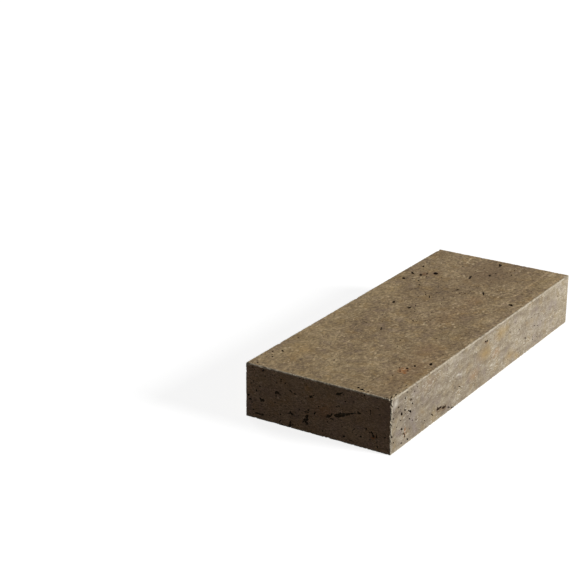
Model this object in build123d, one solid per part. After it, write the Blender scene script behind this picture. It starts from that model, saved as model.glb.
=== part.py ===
from build123d import *
from math import asin, cos, degrees, sin, sqrt
from typing import NamedTuple
import os

# A block step sawn from one piece of travertine: all six faces sawn flat, arrises eased,
# the natural pores left open. +X runs along the step, the riser faces -Y, the tread faces +Z.
# The origin is the middle of the bed, on which the block lies.
step_length = 1000.0
step_depth = 400.0
step_height = 140.0
arris_ease = 1.5        # leg of the small chamfer that takes the sharpness off every arris
pore_undercut = 0.3     # how far a pore's centre is sunk, as a share of its radius
chip_roundness = 2.0    # radius of the bite that takes a chip out, over the chip's depth
shortest_run = 0.5      # a void whose straight run is shorter than this is a plain ball


class Pore(NamedTuple):
    """A natural void that opens on a face, placed as seen from outside the block."""
    across: float       # share of the face's width, from its left corner
    up: float           # share of the face's height, from its foot
    long: float         # mouth, mm
    wide: float         # mouth, mm
    turn: float = 0.0   # degrees anticlockwise from level
    taper: float = 1.0  # width of the far end over that of the first


class Chip(NamedTuple):
    """A flake lost from an arris."""
    along: float        # share of the arris, from its first corner
    long: float         # mm along the arris
    deep: float         # mm in from the sharp arris


# The left end shows the stone's bedding on edge: drawn-out voids that climb to the right.
left_end_pores = [
    Pore(0.693, 0.518, 58, 9, 21, taper=0.35),      # the long void
    Pore(0.788, 0.612, 7, 4, 10),
    Pore(0.582, 0.415, 13, 7, 15),      # hooked void beside it
    Pore(0.598, 0.455, 11, 4, 60),
    Pore(0.648, 0.870, 16, 6, 22, taper=0.5),
    Pore(0.432, 0.285, 15, 8, 75),      # tall void with a foot
    Pore(0.425, 0.220, 10, 7, 60),
    Pore(0.432, 0.165, 9, 6, -25),
    Pore(0.216, 0.590, 9, 6, 45),       # arched void
    Pore(0.233, 0.585, 8, 5, -30),
    Pore(0.108, 0.390, 10, 6, -35),
    Pore(0.120, 0.370, 9, 6, 0),
    Pore(0.085, 0.100, 14, 5, 0),
    Pore(0.118, 0.102, 11, 4, 5),
    Pore(0.325, 0.270, 14, 5, -25),
    Pore(0.315, 0.060, 20, 7, 78),      # runs out through the foot of the end
    Pore(0.335, 0.075, 6, 4, 0),
    Pore(0.458, 0.672, 8, 6, 10),
    Pore(0.868, 0.310, 12, 5, -60),
    Pore(0.890, 0.272, 7, 5, -40),
    Pore(0.018, 0.405, 7, 5, -10),
    Pore(0.028, 0.345, 8, 5, -20),
]
riser_pores = [
    Pore(0.048, 0.620, 8, 7, -30),
    Pore(0.090, 0.550, 10, 6, -30),
    Pore(0.050, 0.345, 8, 6, -40),
    Pore(0.062, 0.228, 7, 5, -40),
    Pore(0.233, 0.215, 16, 6, -3),      # brown run of voids that falls towards the foot
    Pore(0.245, 0.205, 11, 5, -3),
    Pore(0.263, 0.150, 18, 7, -5),
    Pore(0.289, 0.078, 9, 4, -20),
    Pore(0.308, 0.028, 12, 5, -15),
    Pore(0.485, 0.840, 13, 4, -5),
    Pore(0.783, 0.440, 6, 4, -20),
    Pore(0.804, 0.392, 6, 4, -20),
]
tread_pores = [
    Pore(0.809, 0.782, 16, 13, 30),     # the widest void of the tread
    Pore(0.550, 0.755, 12, 7, 25),
    Pore(0.537, 0.622, 12, 9, 10),
    Pore(0.725, 0.920, 12, 9, 40),
    Pore(0.775, 0.917, 12, 9, 40),
    Pore(0.840, 0.923, 9, 6, 30),
    Pore(0.775, 0.855, 14, 9, 20),
    Pore(0.738, 0.333, 23, 5, 30),      # slit
    Pore(0.699, 0.087, 13, 11, 20),
    Pore(0.727, 0.508, 8, 7, 20),
    Pore(0.830, 0.545, 18, 6, 20),
    Pore(0.636, 0.605, 13, 4, 30),
    Pore(0.968, 0.482, 13, 8, 25),
    Pore(0.875, 0.450, 12, 6, 20),
    Pore(0.365, 0.588, 9, 4, 25),
    Pore(0.232, 0.060, 11, 7, 25),
    Pore(0.202, 0.127, 10, 6, 20),
    Pore(0.108, 0.910, 8, 6, 60),
    Pore(0.013, 0.220, 12, 8, 70),
]
right_end_pores = [
    Pore(0.270, 0.560, 34, 8, -14),
    Pore(0.345, 0.500, 18, 6, -18),
    Pore(0.130, 0.720, 9, 6, 20),
    Pore(0.520, 0.290, 14, 6, -30),
    Pore(0.615, 0.780, 11, 5, -12),
    Pore(0.740, 0.420, 10, 7, 40),
    Pore(0.880, 0.200, 16, 5, -8),
    Pore(0.420, 0.160, 8, 5, 0),
]
back_pores = [
    Pore(0.085, 0.300, 18, 7, 6),
    Pore(0.107, 0.345, 10, 5, 20),
    Pore(0.230, 0.690, 12, 8, -15),
    Pore(0.372, 0.180, 14, 5, -4),
    Pore(0.435, 0.560, 9, 7, 30),
    Pore(0.610, 0.760, 16, 6, 8),
    Pore(0.632, 0.710, 9, 5, -20),
    Pore(0.728, 0.270, 11, 7, 10),
    Pore(0.865, 0.480, 20, 6, -6),
]
bed_pores = [
    Pore(0.140, 0.310, 15, 9, 25),
    Pore(0.285, 0.720, 12, 8, -30),
    Pore(0.405, 0.240, 18, 6, 15),
    Pore(0.590, 0.640, 13, 10, 40),
    Pore(0.720, 0.180, 10, 7, 0),
    Pore(0.865, 0.560, 16, 7, -20),
]

front_arris_chips = [
    Chip(0.012, 30, 7.0),       # the worn near corner
    Chip(0.200, 12, 2.6),
    Chip(0.432, 14, 2.4),
    Chip(0.690, 11, 2.4),
    Chip(0.980, 16, 5.0),
]
near_upright_chips = [
    Chip(0.875, 9, 3.2),
    Chip(0.610, 9, 3.2),
    Chip(0.350, 9, 3.2),
]
left_arris_chips = [
    Chip(0.985, 16, 5.0),
    Chip(0.880, 22, 3.2),
    Chip(0.530, 14, 2.6),
]
back_arris_chips = [
    Chip(0.150, 16, 3.4),
    Chip(0.520, 20, 3.0),
    Chip(0.985, 18, 5.0),
]


def sawn_block():
    """The block with every arris eased."""
    block = Pos(0, 0, step_height / 2) * Box(step_length, step_depth, step_height)
    return chamfer(block.edges(), arris_ease)


def rounded_void(long, wide, taper=1.0):
    """A closed round-ended solid along X, tapering to +X, with its seam on the -Z side."""
    blunt, fine = wide / 2, wide / 2 * taper
    half_run = (long - blunt - fine) / 2
    if half_run < shortest_run:
        return Sphere(blunt)
    lean = asin((blunt - fine) / (2 * half_run))
    shoulders = [(x + r * sin(lean), r * cos(lean)) for x, r in ((-half_run, blunt), (half_run, fine))]
    ends = [(-half_run - blunt, 0), (half_run + fine, 0)]
    outline = [
        CenterArc((-half_run, 0), blunt, 90 - degrees(lean), 90 + degrees(lean)),
        Line(*shoulders),
        CenterArc((half_run, 0), fine, 0, 90 - degrees(lean)),
        Line(*ends),
    ]
    return Rot(-90, 0, 0) * revolve(make_face(outline), Axis.X)


def pore_solid(pore, foot_corner, rightwards, outwards, width, height):
    """The void behind one pore's mouth, on the face that the corner and two directions set."""
    swell = 1 / sqrt(1 - pore_undercut ** 2)    # the void is wider below its mouth
    void = rounded_void(pore.long * swell, pore.wide * swell, pore.taper)
    sink = pore_undercut * pore.wide / 2 * swell
    face = Plane(origin=foot_corner, x_dir=rightwards, z_dir=outwards)
    spot = Pos(pore.across * width, pore.up * height, -sink) * Rot(0, 0, pore.turn)
    return face.location * spot * void


def chip_solid(chip, first_corner, last_corner, outwards):
    """The bite that takes one chip off an arris; outwards points away from the block."""
    start, end = Vector(*first_corner), Vector(*last_corner)
    away = Vector(*outwards).normalized()
    radius = chip_roundness * chip.deep
    ball_reach = sqrt(radius ** 2 - (radius - chip.deep) ** 2)   # half a ball's length on the arris
    bite = rounded_void(chip.long + 2 * (radius - ball_reach), 2 * radius)
    centre = start + (end - start) * chip.along + away * (radius - chip.deep)
    return Plane(origin=centre, x_dir=(end - start).normalized(), z_dir=away).location * bite


left, right = -step_length / 2, step_length / 2
front, back = -step_depth / 2, step_depth / 2

faces = [
    (left_end_pores, (left, back, 0), (0, -1, 0), (-1, 0, 0), step_depth, step_height),
    (riser_pores, (left, front, 0), (1, 0, 0), (0, -1, 0), step_length, step_height),
    (tread_pores, (left, front, step_height), (1, 0, 0), (0, 0, 1), step_length, step_depth),
    (right_end_pores, (right, front, 0), (0, 1, 0), (1, 0, 0), step_depth, step_height),
    (back_pores, (right, back, 0), (-1, 0, 0), (0, 1, 0), step_length, step_height),
    (bed_pores, (left, back, 0), (1, 0, 0), (0, 0, -1), step_length, step_depth),
]
arrises = [
    (front_arris_chips, (left, front, step_height), (right, front, step_height), (0, -1, 1)),
    (near_upright_chips, (left, front, 0), (left, front, step_height), (-1, -1, 0)),
    (left_arris_chips, (left, front, step_height), (left, back, step_height), (-1, 0, 1)),
    (back_arris_chips, (left, back, step_height), (right, back, step_height), (0, 1, 1)),
]

cuts = [pore_solid(pore, *face) for pores, *face in faces for pore in pores]
cuts += [chip_solid(chip, *arris) for chips, *arris in arrises for chip in chips]
block_step = sawn_block() - cuts

os.makedirs("parts", exist_ok=True)
export_step(block_step, "parts/block_step.step")
print("block_step: %.1f litres" % (block_step.volume / 1e6))
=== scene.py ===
import bpy
from math import cos, radians, sin
from mathutils import Euler, Matrix, Vector
from random import Random


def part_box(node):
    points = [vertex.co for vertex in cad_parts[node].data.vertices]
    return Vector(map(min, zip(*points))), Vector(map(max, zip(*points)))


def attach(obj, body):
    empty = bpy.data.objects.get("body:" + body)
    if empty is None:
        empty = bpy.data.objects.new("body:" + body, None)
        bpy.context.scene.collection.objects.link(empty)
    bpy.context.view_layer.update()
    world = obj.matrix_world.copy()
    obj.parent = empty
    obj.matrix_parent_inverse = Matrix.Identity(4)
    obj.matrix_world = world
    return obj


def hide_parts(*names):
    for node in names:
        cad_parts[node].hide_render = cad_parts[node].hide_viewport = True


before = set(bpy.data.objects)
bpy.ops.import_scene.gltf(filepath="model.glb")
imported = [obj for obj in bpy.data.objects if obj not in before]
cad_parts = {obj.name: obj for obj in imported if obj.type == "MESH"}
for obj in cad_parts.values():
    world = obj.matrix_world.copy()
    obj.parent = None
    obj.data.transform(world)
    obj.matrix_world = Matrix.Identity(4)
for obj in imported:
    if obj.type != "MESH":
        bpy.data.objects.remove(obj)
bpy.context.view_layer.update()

# A block step sawn from one piece of brown travertine. +X runs along the step, the riser faces -Y.
# Blender works in metres; places and sizes on the stone are written in millimetres.
mm = 0.001
low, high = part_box("block_step")
size = high - low


def deselectAll():
    bpy.ops.object.select_all(action="DESELECT")


def makeActive(piece):
    deselectAll()
    piece.select_set(True)
    bpy.context.view_layer.objects.active = piece


def finishModifier(piece, kind, settings):
    # adds a modifier with its settings and applies it
    modifier = piece.modifiers.new(kind.lower(), kind)
    for name, value in settings.items():
        setattr(modifier, name, value)
    makeActive(piece)
    bpy.ops.object.modifier_apply(modifier=modifier.name)


def linear(code):
    # sRGB hex to the linear values that Blender's sockets take
    levels = [int(code[i:i + 2], 16) / 255 for i in (1, 3, 5)]
    return [v / 12.92 if v <= 0.04045 else ((v + 0.055) / 1.055) ** 2.4 for v in levels] + [1]


def addNode(tree, kind, settings=(), inputs=()):
    # one node with its settings; an input is a value, a socket to link from, or a node, which
    # is linked from the first of its outputs that is in use
    node = tree.nodes.new("ShaderNode" + kind)
    for name, value in dict(settings).items():
        setattr(node, name, value)
    for name, value in dict(inputs).items():
        if isinstance(value, bpy.types.Node):
            value = next(socket for socket in value.outputs if socket.enabled)
        if isinstance(value, bpy.types.NodeSocket):
            tree.links.new(value, node.inputs[name])
        else:
            node.inputs[name].default_value = value
    return node


# Camera, where the photographer stood: fitted to the block's edges
cameraView = {
    "place": (-3.44041, -1.79058, 1.64401),     # metres
    "azimuth": -57.670,                         # degrees
    "elevation": 20.455,
    "roll": 0.372,
    "lens": 99.325,                             # mm
    "sensor": 36.0,                             # mm, the sensor's width
}
turned = Euler((radians(90 - cameraView["elevation"]), 0, radians(cameraView["azimuth"]))).to_matrix()
turned = turned @ Matrix.Rotation(radians(cameraView["roll"]), 3, "Z")
bpy.ops.object.camera_add(location=cameraView["place"], rotation=turned.to_euler())
camera = bpy.context.object
camera.name = "photoCamera"
camera.data.lens = cameraView["lens"]
camera.data.sensor_width = cameraView["sensor"]
camera.data.sensor_fit = "HORIZONTAL"
bpy.context.scene.camera = camera
print("camera set")


# The six sawn faces. A place on a face is given by the two coordinates that run in it:
# y, z on the ends; x, z on the riser and the back; x, y on the tread and the bed.
faces = {
    "leftEnd": {"flat": 0, "level": low.x, "right": Vector((0, -1, 0)), "out": Vector((-1, 0, 0))},
    "riser": {"flat": 1, "level": low.y, "right": Vector((1, 0, 0)), "out": Vector((0, -1, 0))},
    "tread": {"flat": 2, "level": high.z, "right": Vector((1, 0, 0)), "out": Vector((0, 0, 1))},
    "rightEnd": {"flat": 0, "level": high.x, "right": Vector((0, 1, 0)), "out": Vector((1, 0, 0))},
    "backFace": {"flat": 1, "level": high.y, "right": Vector((-1, 0, 0)), "out": Vector((0, 1, 0))},
    "bed": {"flat": 2, "level": low.z, "right": Vector((1, 0, 0)), "out": Vector((0, 0, -1))},
}


def facePoint(face, first, second):
    spot = [first * mm, second * mm]
    spot.insert(faces[face]["flat"], faces[face]["level"])
    return Vector(spot)


# Natural voids, as they show from outside: first and second place, long, wide, degrees
# anticlockwise from level, and half the depth where the width doesn't give it. All lengths in mm.
voids = {
    "leftEnd": [
        (-58, 65.5, 17, 10, 21), (-70, 70, 20, 8.5, 22), (-83, 75, 18, 6, 20), (-96, 80.5, 15, 3.6, 22),
        (-103, 83, 5, 3, 20), (-115, 86, 8, 5, -10), (-111, 88, 4, 3, 20),
        (-33, 58, 13, 8, 15), (-40, 63, 10, 4, 55), (-42, 53, 12, 4, -15, 3),
        (-58, 120.5, 13, 6.5, 12), (-66, 124.5, 12, 3.2, 35),
        (27, 41, 12, 8, 75, 6), (29, 33, 14, 8, 35), (27, 24, 11, 7, -25), (36, 26, 8, 3.5, 45, 3),
        (113, 82.5, 9, 6, 45), (107.5, 82, 8, 5, -30), (110, 85, 6, 4, 0), (102, 80, 4, 3, 0),
        (157, 55, 9, 5, -45), (151, 53, 9, 7, 40), (154, 51, 8, 5, 0),
        (166, 15, 14, 5, 0), (153, 15, 11, 4.5, 5), (159, 14.5, 7, 3.5, 0),
        (75, 38.5, 10, 3.5, 10), (69, 38.5, 13, 5, -35), (64, 35.5, 6, 3, -30),
        (74, 8, 18, 7, 78), (72, 14, 12, 4, 80), (66, 10, 7, 4, 20),
        (72, 96, 8, 4, -30), (60, 92, 7, 3, 0, 2), (16, 95, 9, 6, 10), (9, 100, 6, 4, 15),
        (6, 55, 8, 4, 65), (22, 59, 7, 5, 15), (28, 53, 12, 3, 0, 2),
        (170, 74, 8, 4, -55), (192, 57, 7, 5, -10), (187, 48, 8, 5, -15), (184, 90, 5, 3, 20),
        (-151, 43, 11, 5, -60), (-154, 37, 8, 5, -55), (-162, 38, 8, 4, 80), (-134, 51, 6, 4, 20),
        (-102, 42, 6, 3, 30), (-120, 28, 6, 4, 10), (-75, 17, 8, 4, 0), (-94, 11, 5, 3, 70),
        (-145, 93, 10, 2, 88), (-145, 99, 4, 3, 80), (-5, 76, 4, 3, 10), (-18, 80, 5, 2.5, 25),
        (-54, 87, 6, 3, 10), (103, 9, 12, 3, 60, 3), (98, 3, 8, 3, 0), (112, 108, 5, 3, 30),
        (88, 112, 5, 3, -20), (100, 114, 4, 2.5, 0), (150, 131, 9, 5, 50, 3), (30, 88, 4, 3, 20),
        (51, 37, 4, 3, 0), (42, 79, 4, 2.5, 30), (132, 18, 4, 3, 70), (178, 22, 4, 3, 10),
    ],
    "riser": [
        (-452, 87, 9, 6.5, -35), (-437, 92, 8, 4, -10), (-410, 78, 9, 6, -30), (-418, 82, 10, 2.6, -25),
        (-450, 48, 10, 5.5, -35), (-438, 32, 7, 5, -40), (-434, 25, 10, 3.5, -75, 3),
        (-272, 31, 8, 7, 30), (-264, 29, 12, 6, -5), (-253, 28, 7, 5.5, 20), (-239, 22, 13, 6.5, -8),
        (-230, 21, 7, 5, 20), (-212, 12, 9, 4, -20), (-205, 9, 6, 3, 0), (-193, 5, 10, 4.5, -20),
        (-187, 3, 7, 4, 0), (-302, 28, 6, 3, -30), (-295, 23, 8, 2.5, -45), (-436, 121, 7, 4, -20),
        (-468, 110, 6, 4, 0), (-400, 94, 6, 4, -15), (-413, 60, 6, 4, -20), (-450, 12, 6, 4, 0),
        (-420, 10, 9, 4, -30), (-410, 108, 8, 6, 0, 2), (-404, 105, 5, 3, 10), (-18, 119, 8, 4, 0),
        (-9, 118, 9, 3.5, -15, 3), (-157, 47, 8, 3, -25), (283, 62, 8, 3, -15), (304, 55, 9, 3, -15),
        (228, 45, 9, 4, -10, 2), (-492, 90, 5, 4, 20), (-496, 46, 5, 4, 0), (-398, 50, 4, 3, 0),
        (-380, 45, 4, 3, -20), (-392, 122, 5, 3, 0), (-428, 133, 6, 3, 0), (-488, 28, 5, 3.5, 10),
        (330, 61, 6, 2.5, -10), (262, 92, 5, 2.5, 0), (430, 100, 5, 3, -10), (100, 30, 4, 2.5, 0),
        (-336, 25, 5, 2.5, -30), (-352, 73, 4, 2.5, 0), (-457, 72, 4, 3, 0), (-475, 62, 4, 3, 20),
    ],
    "tread": [
        (309, 113, 15, 12, 30), (314, 117, 8, 6, 10), (303, 109, 6, 4, 40), (50, 102, 12, 7, 25),
        (57, 105, 6, 4, 0), (37, 49, 12, 8.5, 10), (225, 168, 12, 8, 40), (232, 172, 6, 5, 0),
        (275, 167, 12, 8.5, 40), (282, 172, 7, 5, 30), (340, 169, 10, 6, 30), (347, 171, 5, 4, 0),
        (275, 142, 15, 9, 20, 3), (293, 132, 10, 6, 10, 2.5), (330, 19, 20, 6, 20, 3.5),
        (343, 21, 8, 4, 10, 2.5),
        (468, -7, 13, 8, 25, 4), (461, -9, 8, 5, 0), (474, -2, 7, 4, 40), (375, -20, 12, 6, 20, 3.5),
        (379, -16, 6, 4, 0), (400, -25, 8, 4, 0, 3), (205, 108, 9, 5, 20, 2), (233, 126, 9, 4, 10, 2),
        (238, -67, 15, 5, 30), (229, -72, 8, 3.5, 30), (247, -62, 8, 3, 30), (199, -166, 13, 9, 25),
        (202, -160, 7, 4, 10), (227, 3, 8, 7, 20), (221, 5, 5, 3, 0), (210, -26, 6, 4, 15),
        (230, -31, 6, 4, 0), (213, -14, 5, 3, 0), (136, 41, 13, 3.8, 32), (143, 46, 5, 3, 30),
        (122, 68, 7, 3, 20), (147, 59, 7, 4, 10, 2), (58, 41, 10, 3, 40, 2), (20, 23, 6, 3, 20, 2),
        (-41, -5, 9, 4, 25), (-14, -40, 5, 3, 15), (-135, 35, 10, 4, 20), (-127, 39, 8, 3, 30),
        (-116, 90, 7, 3, 30, 2), (-268, -176, 12, 7, 25), (-262, -174, 6, 4, 0), (-298, -149, 10, 6, 20),
        (-320, -140, 10, 6, 20, 2), (-345, -135, 6, 4, 20), (-328, -124, 6, 3, 30, 2),
        (-333, -149, 6, 4, 0, 2),
        (-392, 164, 8, 6, 50), (-388, 168, 5, 3, 40), (-407, 184, 9, 4, 10), (-436, 166, 8, 4.5, 30),
        (-425, 174, 6, 3, 30, 2), (-486, -112, 11, 8, 60), (-480, -100, 8, 5, 40), (-490, -120, 6, 4, 0),
        (-468, -192, 8, 4, 10), (-174, -41, 6, 3, 25), (-212, -54, 6, 3, 30, 2), (-372, 31, 6, 4, 0),
        (110, -8, 7, 3, 20, 2), (170, -12, 5, 3, 0), (205, 8, 5, 3, 0), (366, 95, 5, 3, 0),
        (-165, -41, 5, 2.5, 10), (420, 20, 6, 3, 10, 2), (-484, 176, 6, 4, 20), (270, 122, 8, 3, 10, 2),
        (-490, -192, 7, 4, 20), (-482, -189, 6, 3.5, 0), (-494, -183, 5, 3, 40), (-476, -194, 5, 3, 0),
        (411, -68, 9, 4, 15, 2), (-15, 167, 6, 3, 20, 2), (-300, 178, 6, 3, 0), (160, 66, 5, 3, 0),
    ],
    "rightEnd": [
        (-92, 78, 20, 8, -14), (-80, 74, 14, 6, -20), (-62, 70, 18, 6, -18), (-148, 101, 9, 6, 20),
        (8, 41, 14, 6, -30), (46, 109, 11, 5, -12), (96, 59, 10, 7, 40), (152, 28, 16, 5, -8),
        (-32, 22, 8, 5, 0), (60, 100, 7, 4, 10), (-120, 40, 8, 4, 30),
    ],
    "backFace": [
        (415, 42, 18, 7, 6), (393, 48, 10, 5, 20), (270, 97, 12, 8, -15), (128, 25, 14, 5, -4),
        (65, 78, 9, 7, 30), (-110, 106, 16, 6, 8), (-132, 99, 9, 5, -20), (-228, 38, 11, 7, 10),
        (-365, 67, 20, 6, -6), (-350, 72, 9, 5, 10), (330, 60, 9, 4, 0), (-20, 50, 8, 5, 20),
    ],
    "bed": [
        (-360, 76, 15, 9, 25), (-215, -88, 12, 8, -30), (-95, 104, 18, 6, 15), (90, -56, 13, 10, 40),
        (220, 128, 10, 7, 0), (365, -24, 16, 7, -20),
    ],
}

# Fine pores scattered by chance: face, span of the first and second place, how many, widest mm
porousPatches = [
    ("leftEnd", (-196, 196), (4, 136), 95, 3.4),
    ("leftEnd", (-170, -80), (8, 60), 22, 3.2),
    ("riser", (-496, -370), (6, 134), 28, 2.8),
    ("riser", (-370, 120), (6, 134), 40, 2.6),
    ("riser", (120, 490), (6, 134), 45, 2.6),
    ("tread", (-494, 494), (-192, 194), 95, 3.2),
    ("tread", (140, 490), (-60, 190), 45, 3.6),
    ("tread", (-490, -300), (-190, -90), 25, 3.4),
    ("rightEnd", (-194, 194), (4, 136), 70, 3.6),
    ("backFace", (-490, 490), (6, 134), 110, 3.4),
    ("bed", (-490, 490), (-194, 194), 80, 3.6),
]

# Chips on the arrises: a point on the arris (mm), along which axis, long, deep, and which way is out
chips = [
    ((-493, -200, 140), 0, 13, 4.0, (0, -1, 1)), ((-482, -200, 140), 0, 12, 3.2, (0, -1, 1)),
    ((-472, -200, 140), 0, 8, 2.4, (0, -1, 1)), ((-300, -200, 140), 0, 12, 2.4, (0, -1, 1)),
    ((-68, -200, 140), 0, 14, 2.2, (0, -1, 1)), ((190, -200, 140), 0, 11, 2.2, (0, -1, 1)),
    ((480, -200, 140), 0, 16, 5.0, (0, -1, 1)), ((-500, -197, 138), 1, 9, 4.0, (-1, 0, 1)),
    ((-500, -200, 122), 2, 9, 3.4, (-1, -1, 0)), ((-500, -200, 84), 2, 9, 3.4, (-1, -1, 0)),
    ((-500, -200, 48), 2, 9, 3.4, (-1, -1, 0)), ((-500, -200, 103), 2, 6, 2.0, (-1, -1, 0)),
    ((-500, -200, 64), 2, 5, 1.8, (-1, -1, 0)), ((-500, -200, 22), 2, 7, 2.0, (-1, -1, 0)),
    ((-500, 194, 140), 1, 16, 5.0, (-1, 0, 1)), ((-500, 152, 140), 1, 22, 3.2, (-1, 0, 1)),
    ((-500, 12, 140), 1, 14, 2.6, (-1, 0, 1)), ((-500, 60, 140), 1, 10, 2.2, (-1, 0, 1)),
    ((-500, -86, 140), 1, 12, 2.2, (-1, 0, 1)), ((-500, -140, 140), 1, 9, 2.0, (-1, 0, 1)),
    ((-350, 200, 140), 0, 16, 3.4, (0, 1, 1)), ((20, 200, 140), 0, 20, 3.0, (0, 1, 1)),
    ((485, 200, 140), 0, 18, 5.0, (0, 1, 1)), ((500, 120, 140), 1, 18, 2.6, (1, 0, 1)),
    ((500, -60, 140), 1, 14, 2.4, (1, 0, 1)), ((-500, 120, 0), 1, 24, 3.0, (-1, 0, -1)),
    ((-500, -60, 0), 1, 30, 2.6, (-1, 0, -1)), ((-500, 20, 0), 1, 18, 2.4, (-1, 0, -1)),
]

stoneWork = {
    "seed": 41,
    "arrisEase": 1.8,               # mm, the saw's sharp arrises are just taken off
    "easeSteps": 2,
    "smoothAngle": 38,              # degrees
    "kinds": 5,                     # different lumps that the spaces are made from
    "lumpiness": 0.42,              # how far a lump's corners stray, over its radius
    "plainBelow": 6.5,              # mm, the length below which a void has fewer faces
    "mouthSwell": 1.2,              # an uneven lump fills less than its box
    "voidDepth": 0.8,               # half a void's depth over its width
    "undercut": 0.28,               # how far a void's centre is sunk, as a share of half its depth
    "smallestPore": 1.3,            # mm
    "poreRarity": 2,                # the higher, the fewer of the pores are wide
    "poreStretch": (1, 1.9),        # length over width
    "poreTurn": (-35, 40),          # degrees
    "chipRound": 2,                 # radius of the bite that takes a chip out, over its depth
    "chipSwell": 0.75,              # half that bite's length over the chip's
    "crumbleSpacing": (5, 14),      # mm between the small losses along an arris
    "crumbleLong": (3, 15),         # mm
    "crumbleDeep": (0.9, 2.9),      # mm in from the sharp arris
    "crumbleRound": 2.2,            # radius of such a bite over its depth
    "crumbleLean": (0.5, 1.5),      # a bite leans now to one face, now to the other
}
chance = Random(stoneWork["seed"])

# The block's finishes, in the order of its material slots
stone = {
    "sawn": bpy.data.materials.new("sawnTravertine"),
    "lining": bpy.data.materials.new("voidLining"),
    "broken": bpy.data.materials.new("crushedArris"),
}


def stoneLump(name, fineness):
    # an uneven ball, one unit in radius each way: the space that a void or a chip takes out
    deselectAll()
    bpy.ops.mesh.primitive_ico_sphere_add(subdivisions=1, radius=1)
    lump = bpy.context.object
    lump.name = name
    bpy.ops.object.mode_set(mode="EDIT")
    bpy.ops.mesh.select_all(action="SELECT")
    bpy.ops.transform.vertex_random(offset=stoneWork["lumpiness"], uniform=1.0, seed=chance.randrange(1000))
    bpy.ops.object.mode_set(mode="OBJECT")
    finishModifier(lump, "SUBSURF", {"levels": fineness})
    finishModifier(lump, "TRIANGULATE", {})
    corners = [vertex.co for vertex in lump.data.vertices]
    for axis in range(3):
        least = min(corner[axis] for corner in corners)
        most = max(corner[axis] for corner in corners)
        for corner in corners:
            corner[axis] = 2 * (corner[axis] - least) / (most - least) - 1
    for material in stone.values():
        lump.data.materials.append(material)
    return lump


fineLumps = [stoneLump("fineLump", 2) for k in range(stoneWork["kinds"])]
plainLumps = [stoneLump("plainLump", 1) for k in range(stoneWork["kinds"])]

bites = []      # every space to take out of the block


def addBite(lumps, centre, along, out, halves, finish):
    # halves are half the bite's length, width and depth
    across = out.cross(along)
    axes = Matrix((along * halves[0], across * halves[1], out * halves[2])).transposed().to_4x4()
    bites.append({"lump": chance.choice(lumps), "matrix": Matrix.Translation(centre) @ axes,
                  "finish": finish, "centre": centre, "reach": max(halves)})


def addVoid(face, first, second, long, wide, turn=0, deep=None):
    out = faces[face]["out"]
    along = Matrix.Rotation(radians(turn), 3, out) @ faces[face]["right"]
    half = (deep or wide * stoneWork["voidDepth"]) * mm
    centre = facePoint(face, first, second) - out * half * stoneWork["undercut"]
    mouth = stoneWork["mouthSwell"] * mm
    lumps = fineLumps if long > stoneWork["plainBelow"] else plainLumps
    addBite(lumps, centre, along, out, (long / 2 * mouth, wide / 2 * mouth, half), "lining")


def scatterPores(face, firstSpan, secondSpan, count, widest):
    least = stoneWork["smallestPore"]
    for k in range(count):
        wide = least + (widest - least) * chance.random() ** stoneWork["poreRarity"]
        addVoid(face, chance.uniform(*firstSpan), chance.uniform(*secondSpan),
                wide * chance.uniform(*stoneWork["poreStretch"]), wide,
                chance.uniform(*stoneWork["poreTurn"]))


def alongAxis(axis):
    return Vector([float(k == axis) for k in range(3)])


def addChip(place, axis, long, deep, away):
    outwards = Vector(away).normalized()
    radius = stoneWork["chipRound"] * deep * mm
    addBite(fineLumps, Vector(place) * mm + outwards * (radius - deep * mm), alongAxis(axis), outwards,
            (long * stoneWork["chipSwell"] * mm, radius, radius), "broken")


def addCrumble(axis, sides, travelled):
    # sides says for the other two axes whether the arris lies at the low or the high side
    others = [k for k in range(3) if k != axis]
    place, away = Vector(low), Vector((0, 0, 0))
    place[axis] += travelled
    for k, side in zip(others, sides):
        place[k] = (low, high)[side][k]
        away[k] = 2 * side - 1
    away[others[0]] *= chance.uniform(*stoneWork["crumbleLean"])
    outwards = away.normalized()
    deep = chance.uniform(*stoneWork["crumbleDeep"]) * mm
    radius = deep * stoneWork["crumbleRound"]
    half = chance.uniform(*stoneWork["crumbleLong"]) / 2 * mm
    addBite(plainLumps, place + outwards * (radius - deep), alongAxis(axis), outwards,
            (half, radius, radius), "broken")


for face, places in voids.items():
    for place in places:
        addVoid(face, *place)
for patch in porousPatches:
    scatterPores(*patch)
for chip in chips:
    addChip(*chip)
for axis in range(3):
    for sides in ((0, 0), (0, 1), (1, 0), (1, 1)):
        travelled = 0
        while travelled < size[axis]:
            travelled += chance.uniform(*stoneWork["crumbleSpacing"]) * mm
            addCrumble(axis, sides, travelled)
print("spaces to take out:", len(bites))


def clear(bite, batch):
    return all((bite["centre"] - other["centre"]).length > bite["reach"] + other["reach"] for other in batch)


def batchesApart():
    # the bites in batches in which no two touch, so that each batch is one clean solid
    batches = []
    for bite in sorted(bites, key=lambda b: -b["reach"]):
        for batch in batches:
            if clear(bite, batch):
                batch.append(bite)
                break
        else:
            batches.append([bite])
    return batches


def joinedCutter(batch):
    deselectAll()
    for bite in batch:
        cutter = bite["lump"].copy()
        cutter.data = bite["lump"].data.copy()
        cutter.data.transform(bite["matrix"])
        for side in cutter.data.polygons:
            side.material_index = list(stone).index(bite["finish"])
        bpy.context.collection.objects.link(cutter)
        cutter.select_set(True)
        bpy.context.view_layer.objects.active = cutter
    bpy.ops.object.join()
    return bpy.context.object


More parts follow.
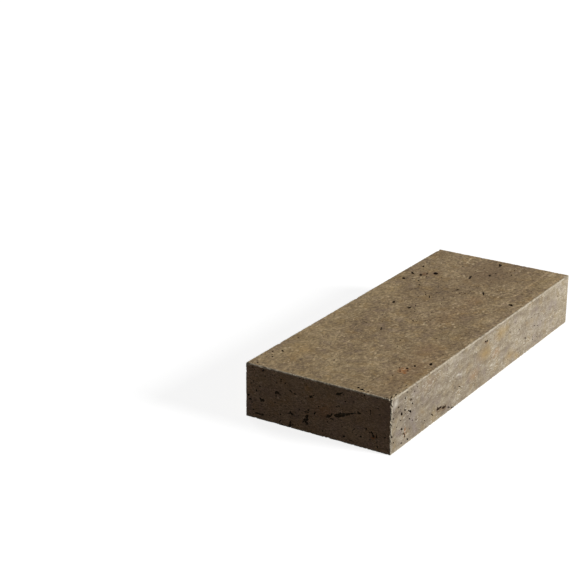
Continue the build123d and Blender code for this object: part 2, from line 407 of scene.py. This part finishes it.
def travertineBlock():
    deselectAll()
    bpy.ops.mesh.primitive_cube_add(size=1, location=(low + high) / 2)
    block = bpy.context.object
    block.name = "travertineBlock"
    block.scale = size
    bpy.ops.object.transform_apply(location=True, rotation=True, scale=True)
    for material in stone.values():
        block.data.materials.append(material)
    finishModifier(block, "BEVEL", {"width": stoneWork["arrisEase"] * mm, "segments": stoneWork["easeSteps"]})
    for batch in batchesApart():
        cutter = joinedCutter(batch)
        finishModifier(block, "BOOLEAN", {"operation": "DIFFERENCE", "solver": "MANIFOLD", "object": cutter})
        bpy.data.objects.remove(cutter)
        print("taken out:", len(batch), "faces now:", len(block.data.polygons))
    finishModifier(block, "TRIANGULATE", {})
    makeActive(block)
    bpy.ops.object.shade_smooth_by_angle(angle=radians(stoneWork["smoothAngle"]))
    return block


block = travertineBlock()
for lump in fineLumps + plainLumps:
    bpy.data.objects.remove(lump)
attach(block, "root")
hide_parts("block_step")
print("block made, triangles:", len(block.data.polygons))


# Travertine, sawn and left unfilled: calcite laid down in beds, brown with iron, dull all over.
# Beds climb to the right on the left end. Scales are worked out from real sizes.
stoneLook = {
    "dark": "#6F6150", "middle": "#A5967F", "pale": "#D6CAB4",
    # how far each pattern sways the tone between the three colours
    "sway": {"cloud": 0.75, "beds": 1.1, "mottle": 0.75, "flakes": 0.9, "grain": 0.9},
    # how each pattern lies, its size in mm, its detail and its roughness
    "patterns": {
        "cloud": ("straight", 150, 3, 0.55),
        "beds": ("bedded", 26, 5, 0.6),
        "mottle": ("straight", 11, 4, 0.6),
        "flakes": ("bedded", 5, 2, 0.55),
        "grain": ("straight", 2.6, 2, 0.55),
        "hue": ("wavered", 34, 3, 0.55),
        "looseness": ("straight", 70, 2, 0.55),
        "flecks": ("bedded", 5.5, 2, 0.4),
        "grit": ("straight", 1.6, 3, 0.65),     # pin holes are finer in the stone; as coarse as shows
    },
    "waverLong": 30, "waverFar": 16,            # mm, so that stains and beds waver
    "bedTilt": (20, 7, 0),                      # degrees
    "bedPress": (0.5, 0.7, 13 / 7),             # beds are longer than they are thick
    # iron in some beds, a mauve cast in others: where on the hue pattern each begins and is full
    "hues": {"#AD9468": (0.53, 0.70), "#A0918C": (0.47, 0.30)},
    "hueShare": 0.45,
    "stainStrength": 1.5, "stainMottle": 1.4, "stainBase": 0.3,
    "calcite": "#DDD3BF",
    "fleckLoose": 0.5, "fleckSpan": (0.90, 0.98), "fleckShare": 0.8,
    "filmAndShade": "#F4E4C8",                          # brown film that all faces but the riser wear; partly weathering, partly painted shade that keeps them darker than the riser
    "endFilm": "#FBF0FF",                       # the left end is redder
    "filmSpan": (0.3, 0.7), "filmPatch": (0.72, 1.28),
    "tintDepth": 1.2, "tintStart": 0.24,        # mm in from the riser, between which its paler tint goes
    "riserDull": 0.83, "riserBright": 1.02,     # tone of the riser at its left and right end
    "crushed": "#D9CEB8",
    "wearReach": 4.5, "wearFull": 1.35,         # mm from the arris
    "wearFlakes": 2.2, "wearMottle": 1.5, "wearBase": -1.15,
    "brokenShare": 0.40,
    # the near-black lining colour is painted shade deep in the pores; the brown one is earth
    "liningShadeDark": "#150E09", "lining": "#4A3624",
    "liningSpan": (0.4, 0.7), "liningShare": 0.88,
    "gritBump": {"sawn": 0.55, "lining": 0.55, "broken": 0.9}, "gritDeep": 0.5,         # mm
    "flakeBump": 0.5, "flakeDeep": 0.8,                                                 # mm
    "roughness": (0.66, 0.90),
    "gloss": 0.28, "ior": 1.49,
}

# Stains: colour, then face, first and second place in mm, reach along both in mm, strength
stains = {
    "#B8985E": [      # iron washed into the beds
        ("riser", -20, 88, 55, 26, 0.45), ("riser", 75, 112, 50, 24, 0.45),
        ("riser", 135, 28, 42, 22, 0.35), ("riser", 178, 12, 26, 12, 0.35),
        ("riser", -3, 112, 10, 6, 0.5), ("tread", -370, 130, 70, 34, 0.24),
        ("leftEnd", 23, 116, 16, 14, 0.5), ("leftEnd", 60, 92, 7, 4, 0.7),
    ],
    "#B58D64": [      # copper brown, in the same beds
        ("riser", 45, 66, 34, 18, 0.4), ("riser", -78, 50, 40, 20, 0.32),
        ("leftEnd", -20, 70, 40, 30, 0.35),
    ],
    "#B87732": [      # beside the voids that held iron
        ("riser", -434, 34, 6, 15, 0.75), ("tread", -335, -138, 24, 16, 0.6),
        ("tread", -348, -148, 9, 6, 0.7), ("leftEnd", -155, 33, 7, 4, 0.95),
        ("leftEnd", -160, 38, 7, 5, 0.7),
    ],
    "#7A5A3C": [      # dirt in and round voids
        ("riser", -262, 27, 22, 8, 0.55), ("riser", -238, 20, 18, 8, 0.55),
        ("riser", -14, 116, 10, 5, 0.6), ("tread", 309, 113, 26, 20, 0.45),
        ("tread", 285, 137, 24, 16, 0.5), ("leftEnd", 28, 53, 9, 4, 0.6),
        ("leftEnd", 155, 132, 14, 7, 0.6), ("leftEnd", 10, 92, 40, 8, 0.4),
    ],
    "#8A7966": [      # grey brown, where the tread is darker
        ("tread", 380, 0, 190, 100, 0.36), ("tread", 400, -40, 140, 130, 0.27),
        ("tread", 170, 0, 110, 70, 0.21), ("tread", -450, -160, 60, 40, 0.18),
        ("tread", -238, -30, 16, 50, 0.4), ("leftEnd", -170, 100, 40, 50, 0.4),
    ],
    "#A5876C": [      # russet clouds
        ("riser", -320, 115, 60, 20, 0.21), ("tread", -300, -150, 200, 60, 0.21),
        ("tread", 60, -70, 170, 60, 0.15), ("tread", 180, -70, 60, 34, 0.21),
        ("tread", -180, -120, 70, 40, 0.21),
    ],
    "#A0958F": [      # mauve clouds
        ("riser", 310, 70, 150, 60, 0.18), ("riser", -410, 60, 80, 70, 0.18),
        ("leftEnd", -62, 102, 18, 8, 0.55), ("leftEnd", -112, 50, 26, 9, 0.5),
        ("leftEnd", 190, 30, 18, 40, 0.4),
    ],
    "#E6DDCB": [      # calcite grains
        ("riser", -165, 80, 14, 4, 0.75), ("riser", -152, 78, 8, 3, 0.6),
        ("riser", -480, 124, 18, 14, 0.65), ("tread", 190, 118, 10, 7, 0.6),
        ("tread", 322, -88, 7, 4, 0.95), ("tread", 100, -48, 7, 3, 0.85),
        ("tread", 122, -37, 12, 3, 0.75), ("tread", 440, 97, 6, 6, 0.8), ("tread", 437, 62, 8, 5, 0.85),
        ("tread", 453, -75, 7, 5, 0.8), ("tread", 432, -118, 7, 4, 0.7), ("tread", -325, 105, 6, 4, 0.8),
        ("tread", -395, -102, 8, 2.5, 0.75), ("tread", -460, -45, 8, 4, 0.75),
        ("tread", -230, -20, 8, 5, 0.8), ("tread", -258, -152, 14, 7, 0.6),
        ("tread", 470, -158, 14, 9, 0.65), ("tread", 200, -158, 10, 4, 0.7),
        ("tread", 237, -60, 14, 3, 0.55), ("tread", -470, -194, 16, 6, 0.75),
        ("leftEnd", 108, 72, 4, 3, 0.95), ("leftEnd", 92, 70, 4, 3, 0.95), ("leftEnd", 95, 88, 4, 3, 0.7),
        ("leftEnd", 103, 8, 4, 10, 0.85),
    ],
    "#C8BA99": [      # cream, where it is lighter; the wide patches along the back of the tread are painted light
        ("riser", 480, 70, 60, 80, 0.15), ("tread", -330, 150, 220, 60, 0.24),
        ("tread", 60, 185, 260, 40, 0.18), ("tread", 420, -170, 110, 34, 0.24),
        ("tread", 130, 150, 90, 22, 0.21), ("tread", -495, 0, 22, 200, 0.21),
        ("tread", -245, 20, 10, 60, 0.24), ("leftEnd", -105, 30, 44, 24, 0.4),
        ("leftEnd", -48, 62, 6, 4, 0.7), ("leftEnd", -70, 64, 26, 5, 0.45),
        ("leftEnd", 40, 10, 70, 12, 0.21),
    ],
    "#A99D7E": [      # olive clouds
        ("tread", -400, -20, 110, 140, 0.18), ("tread", -90, 150, 160, 40, 0.18),
        ("tread", -80, -120, 120, 50, 0.18), ("leftEnd", 148, 105, 26, 14, 0.35),
        ("leftEnd", 174, 62, 9, 5, 0.6),
    ],
}


# What the nodes do: a Mix node's input 0 is the share, 6 and 7 are the two colours
blend = {"data_type": "RGBA"}
tint = {"data_type": "RGBA", "blend_type": "MULTIPLY"}
scaleAdd = {"operation": "MULTIPLY_ADD"}
clampedTimes = {"operation": "MULTIPLY", "use_clamp": True}


def stonePlaces(tree):
    # where a point lies in the stone: straight, straying a little, and pressed into tilted beds
    look = stoneLook
    straight = addNode(tree, "TexCoord").outputs["Object"]
    waver = addNode(tree, "TexNoise", {}, {"Vector": straight, "Scale": 1 / (look["waverLong"] * mm)})
    far = look["waverFar"] * mm
    shift = addNode(tree, "VectorMath", scaleAdd,
                    {0: waver.outputs["Color"], 1: (far, far, far), 2: (-far / 2, -far / 2, -far / 2)})
    wavered = addNode(tree, "VectorMath", {"operation": "ADD"}, {0: straight, 1: shift})
    bedded = addNode(tree, "Mapping", {}, {"Vector": wavered, "Scale": look["bedPress"],
                                           "Rotation": [radians(turn) for turn in look["bedTilt"]]})
    return {"straight": straight, "wavered": wavered, "bedded": bedded}


def beddedColor(tree, patterns):
    look = stoneLook
    tone = 0.5 - 0.5 * sum(look["sway"].values())       # so that the middle tone stays
    for name, share in look["sway"].items():
        tone = addNode(tree, "Math", scaleAdd, {0: patterns[name], 1: share, 2: tone})
    color = addNode(tree, "ValToRGB", {}, {"Fac": tone})
    color.color_ramp.elements[0].color = linear(look["dark"])
    color.color_ramp.elements[1].color = linear(look["pale"])
    color.color_ramp.elements.new(0.5).color = linear(look["middle"])
    for code, (start, full) in look["hues"].items():
        share = addNode(tree, "MapRange", {}, {"Value": patterns["hue"], "From Min": start, "From Max": full,
                                               "To Max": look["hueShare"]})
        color = addNode(tree, "Mix", blend, {0: share, 6: color, 7: linear(code)})
    return color


def stainMask(tree, wavered, marks):
    # soft patches round the places of one colour, added up
    mask = 0.0
    for face, first, second, firstReach, secondReach, strength in marks:
        reaches = [firstReach * mm, secondReach * mm]
        reaches.insert(faces[face]["flat"], (firstReach + secondReach) / 2 * mm)
        patch = addNode(tree, "TexGradient", {"gradient_type": "SPHERICAL"}, {0: wavered})
        # its own mapping, since Cycles has no room for a Mapping node for each of them
        patch.texture_mapping.vector_type = "TEXTURE"
        patch.texture_mapping.translation = facePoint(face, first, second)
        patch.texture_mapping.scale = reaches
        mask = addNode(tree, "Math", scaleAdd, {0: patch.outputs["Fac"], 2: mask,
                                                1: strength * stoneLook["stainStrength"]})
    return mask


def stainedColor(tree, color, patterns, wavered):
    look = stoneLook
    patchy = addNode(tree, "Math", scaleAdd, {0: patterns["mottle"], 1: look["stainMottle"],
                                              2: look["stainBase"]})
    for code, marks in stains.items():
        share = addNode(tree, "Math", clampedTimes, {0: stainMask(tree, wavered, marks), 1: patchy})
        color = addNode(tree, "Mix", blend, {0: share, 6: color, 7: linear(code)})
    return color


def fleckedColor(tree, color, patterns):
    # white calcite flecks, thickest where the stone is loose
    look = stoneLook
    thick = addNode(tree, "Math", scaleAdd, {0: patterns["looseness"], 1: look["fleckLoose"],
                                             2: patterns["flecks"]})
    share = addNode(tree, "MapRange", {}, {"Value": thick, "From Min": look["fleckSpan"][0],
                                           "From Max": look["fleckSpan"][1], "To Max": look["fleckShare"]})
    return addNode(tree, "Mix", blend, {0: share, 6: color, 7: linear(look["calcite"])})


def filmedAndShadedColor(tree, color, patterns, spot):
    # the riser is fresh from the saw, and paler towards its right end; the other faces wear a brown film,
    # partly weathering and partly painted shade, so they are darker than the riser
    look = stoneLook
    filmAndShade = addNode(tree, "MapRange", {"interpolation_type": "SMOOTHSTEP"},
                   {"Value": spot.outputs["Y"], "From Min": low.y + look["tintStart"] * mm,
                    "From Max": low.y + look["tintDepth"] * mm})
    # the riser's tone rises from its left end to its right end
    fade = addNode(tree, "MapRange", {}, {"Value": spot.outputs["X"], "From Min": low.x, "From Max": high.x,
                                          "To Min": look["riserDull"], "To Max": look["riserBright"]})
    rightwardTone = addNode(tree, "CombineXYZ", {}, {0: fade, 1: fade, 2: fade})
    riserToned = addNode(tree, "Mix", tint, {0: 1, 6: color, 7: rightwardTone})
    patch = addNode(tree, "MapRange", {}, {"Value": patterns["flakes"], "From Min": look["filmSpan"][0],
                                           "From Max": look["filmSpan"][1], "To Min": look["filmPatch"][0],
                                           "To Max": look["filmPatch"][1]})
    onEnd = addNode(tree, "MapRange", {}, {"Value": spot.outputs["X"], "From Max": low.x,
                                           "From Min": low.x + look["tintDepth"] * mm})
    # the brown film, which is partly painted shade, darkens every face but the riser
    filmedAndShaded = addNode(tree, "Mix", tint, {0: 1, 6: color, 7: linear(look["filmAndShade"])})
    filmedAndShaded = addNode(tree, "Mix", tint, {0: onEnd, 6: filmedAndShaded, 7: linear(look["endFilm"])})
    patches = addNode(tree, "CombineXYZ", {}, {0: patch, 1: patch, 2: patch})
    filmedAndShaded = addNode(tree, "Mix", tint, {0: 1, 6: filmedAndShaded, 7: patches})
    return addNode(tree, "Mix", blend, {0: filmAndShade, 6: riserToned, 7: filmedAndShaded})


def arrisDistance(tree, spot):
    # how far in from the nearest arris: the second least of the three distances to the faces
    inward = []
    centre = (low + high) / 2
    for k, axis in enumerate("XYZ"):
        offset = addNode(tree, "Math", {"operation": "SUBTRACT"}, {0: spot.outputs[axis], 1: centre[k]})
        far = addNode(tree, "Math", {"operation": "ABSOLUTE"}, {0: offset})
        inward.append(addNode(tree, "Math", {"operation": "SUBTRACT"}, {0: size[k] / 2, 1: far}))
    lesser = addNode(tree, "Math", {"operation": "MINIMUM"}, {0: inward[0], 1: inward[1]})
    greater = addNode(tree, "Math", {"operation": "MAXIMUM"}, {0: inward[0], 1: inward[1]})
    capped = addNode(tree, "Math", {"operation": "MINIMUM"}, {0: greater, 1: inward[2]})
    return addNode(tree, "Math", {"operation": "MAXIMUM"}, {0: lesser, 1: capped})


def crushedColor(tree, color, patterns, spot):
    # the arrises are crushed by handling: pale and patchy within a few millimetres
    look = stoneLook
    wear = addNode(tree, "Math", scaleAdd, {0: patterns["mottle"], 1: look["wearMottle"],
                                            2: look["wearBase"]})
    wear = addNode(tree, "Math", scaleAdd, {0: patterns["flakes"], 1: look["wearFlakes"], 2: wear})
    inward = arrisDistance(tree, spot)
    edge = addNode(tree, "MapRange", {}, {"Value": inward, "From Min": look["wearReach"] * mm,
                                          "From Max": look["wearFull"] * mm})
    share = addNode(tree, "Math", clampedTimes, {0: edge, 1: wear})
    return addNode(tree, "Mix", blend, {0: share, 6: color, 7: linear(look["crushed"])})


def liningEarthAndShade(tree, color, patterns):
    # voids are lined with iron-stained earth, brown, and near black where painted shade stands in for the
    # depth of the pores
    look = stoneLook
    share = addNode(tree, "MapRange", {}, {"Value": patterns["mottle"], "From Min": look["liningSpan"][0],
                                           "From Max": look["liningSpan"][1]})
    earthAndShade = addNode(tree, "Mix", blend, {0: share, 6: linear(look["liningShadeDark"]), 7: linear(look["lining"])})
    return addNode(tree, "Mix", blend, {0: look["liningShare"], 6: color, 7: earthAndShade})


def stoneMaterial(finish):
    look = stoneLook
    stone[finish].use_nodes = True
    tree = stone[finish].node_tree
    shader = tree.nodes["Principled BSDF"]
    places = stonePlaces(tree)
    spot = addNode(tree, "SeparateXYZ", {}, {0: places["straight"]})
    patterns = {}
    for name, (lie, wide, detail, roughness) in look["patterns"].items():
        patterns[name] = addNode(tree, "TexNoise", {}, {"Vector": places[lie], "Scale": 1 / (wide * mm),
                                                        "Detail": detail, "Roughness": roughness})

    color = beddedColor(tree, patterns)
    color = stainedColor(tree, color, patterns, places["wavered"])
    color = fleckedColor(tree, color, patterns)
    color = filmedAndShadedColor(tree, color, patterns, spot)
    color = crushedColor(tree, color, patterns, spot)
    if finish == "lining":
        color = liningEarthAndShade(tree, color, patterns)
    if finish == "broken":
        color = addNode(tree, "Mix", blend, {0: look["brokenShare"], 6: color, 7: linear(look["crushed"])})
    tree.links.new(color.outputs[2], shader.inputs["Base Color"])       # 2 is the mixed colour

    bump = addNode(tree, "Bump", {}, {"Height": patterns["grit"], "Strength": look["gritBump"][finish],
                                      "Distance": look["gritDeep"] * mm})
    bump = addNode(tree, "Bump", {}, {"Height": patterns["flakes"], "Strength": look["flakeBump"],
                                      "Distance": look["flakeDeep"] * mm, "Normal": bump})
    tree.links.new(bump.outputs["Normal"], shader.inputs["Normal"])
    dull = addNode(tree, "MapRange", {}, {"Value": patterns["mottle"], "To Min": look["roughness"][0],
                                          "To Max": look["roughness"][1]})
    tree.links.new(dull.outputs["Result"], shader.inputs["Roughness"])
    shader.inputs["Specular IOR Level"].default_value = look["gloss"]
    shader.inputs["IOR"].default_value = look["ior"]


for finish in stone:
    stoneMaterial(finish)
print("stone coloured")


# Studio: one soft low key from the right of the riser, a weak light behind, little fill
studio = {
    # degrees from in front of the riser towards the right end, degrees up, W/m2, degrees of softness
    "keyLight": (14, 21, 3.05, 20),
    "backLight": (150, 12, 1.0, 30),
    "lampFar": 3,               # metres
    "fill": 0.10,
    "floorReach": 60,           # metres
    "floorDrop": 0.2,           # mm below the bed
    "floorGlow": 0.84, "floorPaint": 0.50, "floorBounce": 0.10,
}


def addSun(name, side, up, strength, soft):
    side, up = radians(side), radians(up)
    toLamp = Vector((sin(side) * cos(up), -cos(side) * cos(up), sin(up)))
    facing = toLamp.to_track_quat("Z", "Y").to_euler()
    bpy.ops.object.light_add(type="SUN", location=toLamp * studio["lampFar"], rotation=facing)
    lamp = bpy.context.object
    lamp.name = name
    lamp.data.energy = strength
    lamp.data.angle = radians(soft)


def seenShare(tree):
    # 1 where the camera, a gloss or a glass looks, 0 for light that bounces
    path = addNode(tree, "LightPath")
    share = addNode(tree, "Math", {"operation": "MAXIMUM"},
                    {0: path.outputs["Is Camera Ray"], 1: path.outputs["Is Glossy Ray"]})
    return addNode(tree, "Math", {"operation": "MAXIMUM"}, {0: share, 1: path.outputs["Is Transmission Ray"]})


def palePaint():
    paint = bpy.data.materials.new("palePaint")
    paint.use_nodes = True
    tree = paint.node_tree
    tree.nodes.clear()
    matt = addNode(tree, "BsdfDiffuse", {}, {"Color": [studio["floorPaint"]] * 3 + [1]})
    glow = addNode(tree, "Emission", {}, {"Strength": studio["floorGlow"]})
    seen = addNode(tree, "AddShader", {}, {0: matt, 1: glow})
    bounce = addNode(tree, "BsdfDiffuse", {}, {"Color": [studio["floorBounce"]] * 3 + [1]})
    mixed = addNode(tree, "MixShader", {}, {0: seenShare(tree), 1: bounce, 2: seen})
    addNode(tree, "OutputMaterial", {}, {"Surface": mixed})
    return paint


def paleFloor():
    drop = studio["floorDrop"] * mm
    bpy.ops.mesh.primitive_plane_add(size=studio["floorReach"], location=(0, 0, low.z - drop))
    floor = bpy.context.object
    floor.name = "paleFloor"
    floor.data.materials.append(palePaint())
    return floor


def paleWorld():
    world = bpy.data.worlds.new("paleWorld")
    bpy.context.scene.world = world
    world.use_nodes = True
    tree = world.node_tree
    tree.nodes.clear()
    seen = seenShare(tree)
    strength = addNode(tree, "MapRange", {}, {"Value": seen, "To Min": studio["fill"], "To Max": 1.0})
    sky = addNode(tree, "Background", {}, {"Strength": strength})
    addNode(tree, "OutputWorld", {}, {"Surface": sky})


deselectAll()
for name in ("keyLight", "backLight"):
    addSun(name, *studio[name])
paleFloor()
paleWorld()
bpy.context.scene.view_settings.view_transform = "Standard"
deselectAll()
print("studio lit")
